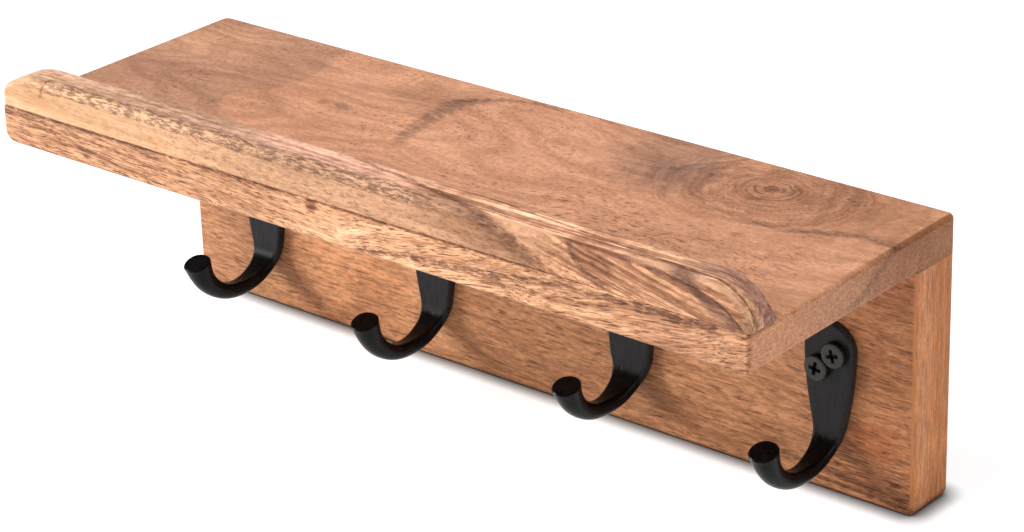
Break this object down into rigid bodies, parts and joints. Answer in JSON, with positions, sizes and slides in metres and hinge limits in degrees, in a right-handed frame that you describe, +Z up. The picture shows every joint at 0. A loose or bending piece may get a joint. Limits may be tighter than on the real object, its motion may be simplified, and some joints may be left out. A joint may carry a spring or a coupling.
{
  "type": "wall shelf with hooks",
  "caption": "Small solid-wood wall shelf with a raised, round-cornered front lip and forged black J hooks along its back board, hung on rear keyhole plates.",
  "frame": {"origin": "centre of the back board's rear face, which stands against the wall", "axes": "+X to the right along the shelf's width, +Y into the wall, +Z up"},
  "size_m": [0.254, 0.0889, 0.0889],
  "materials": {
    "back_wood": "oiled satin",
    "shelf_wood": "oiled satin",
    "lip_wood": "oiled satin",
    "dowel_wood": "plain beech",
    "hook_iron": "satin black powder coat",
    "hook_screw_steel": "black oxide",
    "hanger_steel": "zinc plated",
    "hanger_screw_steel": "zinc plated"
  },
  "bodies": {
    "root": {"back_board": "back_wood", "shelf_board": "shelf_wood", "front_lip": "lip_wood", "shelf_dowel_1": "dowel_wood", "shelf_dowel_2": "dowel_wood", "shelf_dowel_3": "dowel_wood", "shelf_dowel_4": "dowel_wood", "lip_dowel_1": "dowel_wood", "lip_dowel_2": "dowel_wood", "lip_dowel_3": "dowel_wood", "hook_1": "hook_iron", "hook_1_lower_screw": "hook_screw_steel", "hook_1_upper_screw": "hook_screw_steel", "hook_2": "hook_iron", "hook_2_lower_screw": "hook_screw_steel", "hook_2_upper_screw": "hook_screw_steel", "hook_3": "hook_iron", "hook_3_lower_screw": "hook_screw_steel", "hook_3_upper_screw": "hook_screw_steel", "hook_4": "hook_iron", "hook_4_lower_screw": "hook_screw_steel", "hook_4_upper_screw": "hook_screw_steel", "left_keyhole_hanger": "hanger_steel", "left_hanger_upper_screw": "hanger_screw_steel", "left_hanger_lower_screw": "hanger_screw_steel", "right_keyhole_hanger": "hanger_steel", "right_hanger_upper_screw": "hanger_screw_steel", "right_hanger_lower_screw": "hanger_screw_steel"}
  },
  "joints": []
}
